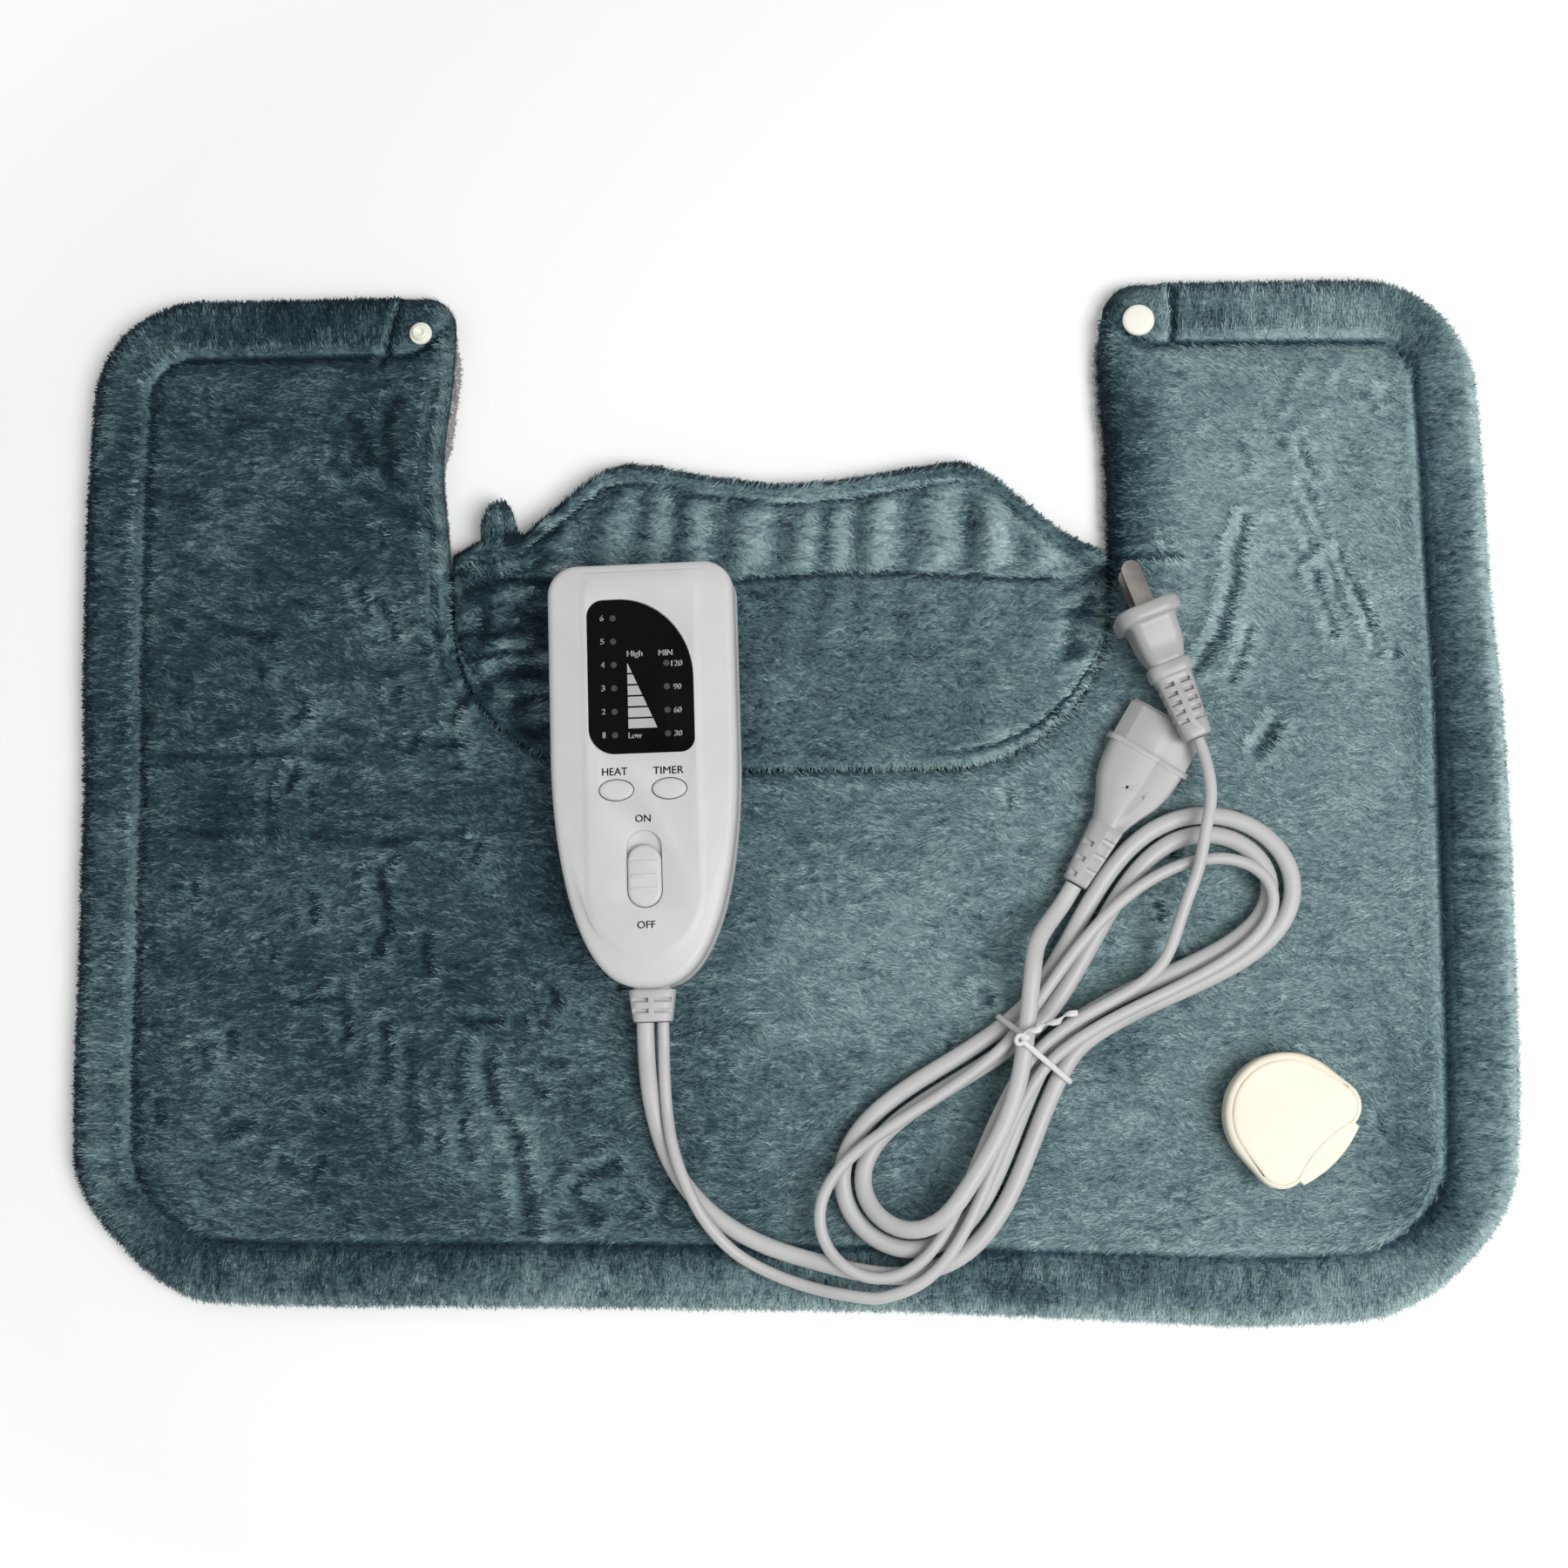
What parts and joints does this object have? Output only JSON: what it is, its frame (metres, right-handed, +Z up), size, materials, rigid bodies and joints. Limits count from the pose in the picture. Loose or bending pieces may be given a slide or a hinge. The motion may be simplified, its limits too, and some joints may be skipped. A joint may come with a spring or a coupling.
{
  "type": "heating pad with controller",
  "caption": "Plush neck and shoulder heating pad with a stand-up collar, snap flaps, a heart-shaped cord socket, a hand controller and tied cords to a mains plug and a pad connector.",
  "frame": {"origin": "centre of the pad on its underside", "axes": "+X across the shoulders, +Y towards the neck opening, +Z up out of the pad"},
  "size_m": [0.465, 0.336, 0.0398],
  "materials": {
    "plush": "long brushed pile",
    "lining": "plain knit",
    "felt": "matt felt",
    "cream_plastic": "satin",
    "white_plastic": "satin",
    "cord_jacket": "satin soft vinyl",
    "lens": "polished",
    "led": "clear, unlit",
    "board": "solder mask",
    "black_plastic": "matt",
    "plated_metal": "nickel plated",
    "wire": "insulation",
    "fuse_body": "ceramic look"
  },
  "bodies": {
    "pad": {"pad_front_cover": "plush", "collar": "plush", "pad_back_cover": "lining", "batting": "felt", "heater_carrier": "felt", "snap_cap_right": "cream_plastic", "snap_socket_right": "cream_plastic", "snap_cap_left": "cream_plastic", "snap_stud_left": "cream_plastic", "socket_base": "cream_plastic", "socket_lid": "cream_plastic", "controller_front_shell": "white_plastic", "controller_back_shell": "white_plastic", "socket_back_plate": "white_plastic", "cord_gland": "cord_jacket", "pad_cord_lead": "cord_jacket", "pad_cord_hank": "cord_jacket", "pad_cord_tail": "cord_jacket", "mains_cord_lead": "cord_jacket", "mains_cord_hank": "cord_jacket", "mains_cord_tail": "cord_jacket", "cord_tie": "cord_jacket", "plug_body": "cord_jacket", "connector_nose": "cord_jacket", "connector_grip": "cord_jacket", "display_lens": "lens", "heat_led_1": "led", "heat_led_2": "led", "heat_led_3": "led", "heat_led_4": "led", "heat_led_5": "led", "heat_led_6": "led", "timer_led_1": "led", "timer_led_2": "led", "timer_led_3": "led", "timer_led_4": "led", "circuit_board": "board", "heat_switch": "black_plastic", "timer_switch": "black_plastic", "slide_switch": "black_plastic", "triac": "black_plastic", "thermal_cutout": "black_plastic", "socket_pin_1": "plated_metal", "socket_pin_2": "plated_metal", "connector_contact_1": "plated_metal", "connector_contact_2": "plated_metal", "plug_blade_upper": "plated_metal", "plug_blade_lower": "plated_metal", "housing_screw_1": "plated_metal", "housing_screw_2": "plated_metal", "housing_screw_3": "plated_metal", "housing_screw_4": "plated_metal", "heating_wire": "wire", "capacitor": "wire", "fuse": "fuse_body"},
    "power_slider": {"power_slider": "white_plastic"},
    "heat_button": {"heat_button": "white_plastic"},
    "timer_button": {"timer_button": "white_plastic"}
  },
  "joints": [
    {"name": "power_slide", "type": "slide", "parent": "pad", "child": "power_slider", "axis": [-0.0325, 0.9995, 0], "range_m": [0, 0.0044]},
    {"name": "heat_press", "type": "slide", "parent": "pad", "child": "heat_button", "axis": [0, 0, -1], "range_m": [0, 0.0008], "stiffness_N_per_m": 1500, "springref_m": -0.0002},
    {"name": "timer_press", "type": "slide", "parent": "pad", "child": "timer_button", "axis": [0, 0, -1], "range_m": [0, 0.0008], "stiffness_N_per_m": 1500, "springref_m": -0.0002}
  ]
}
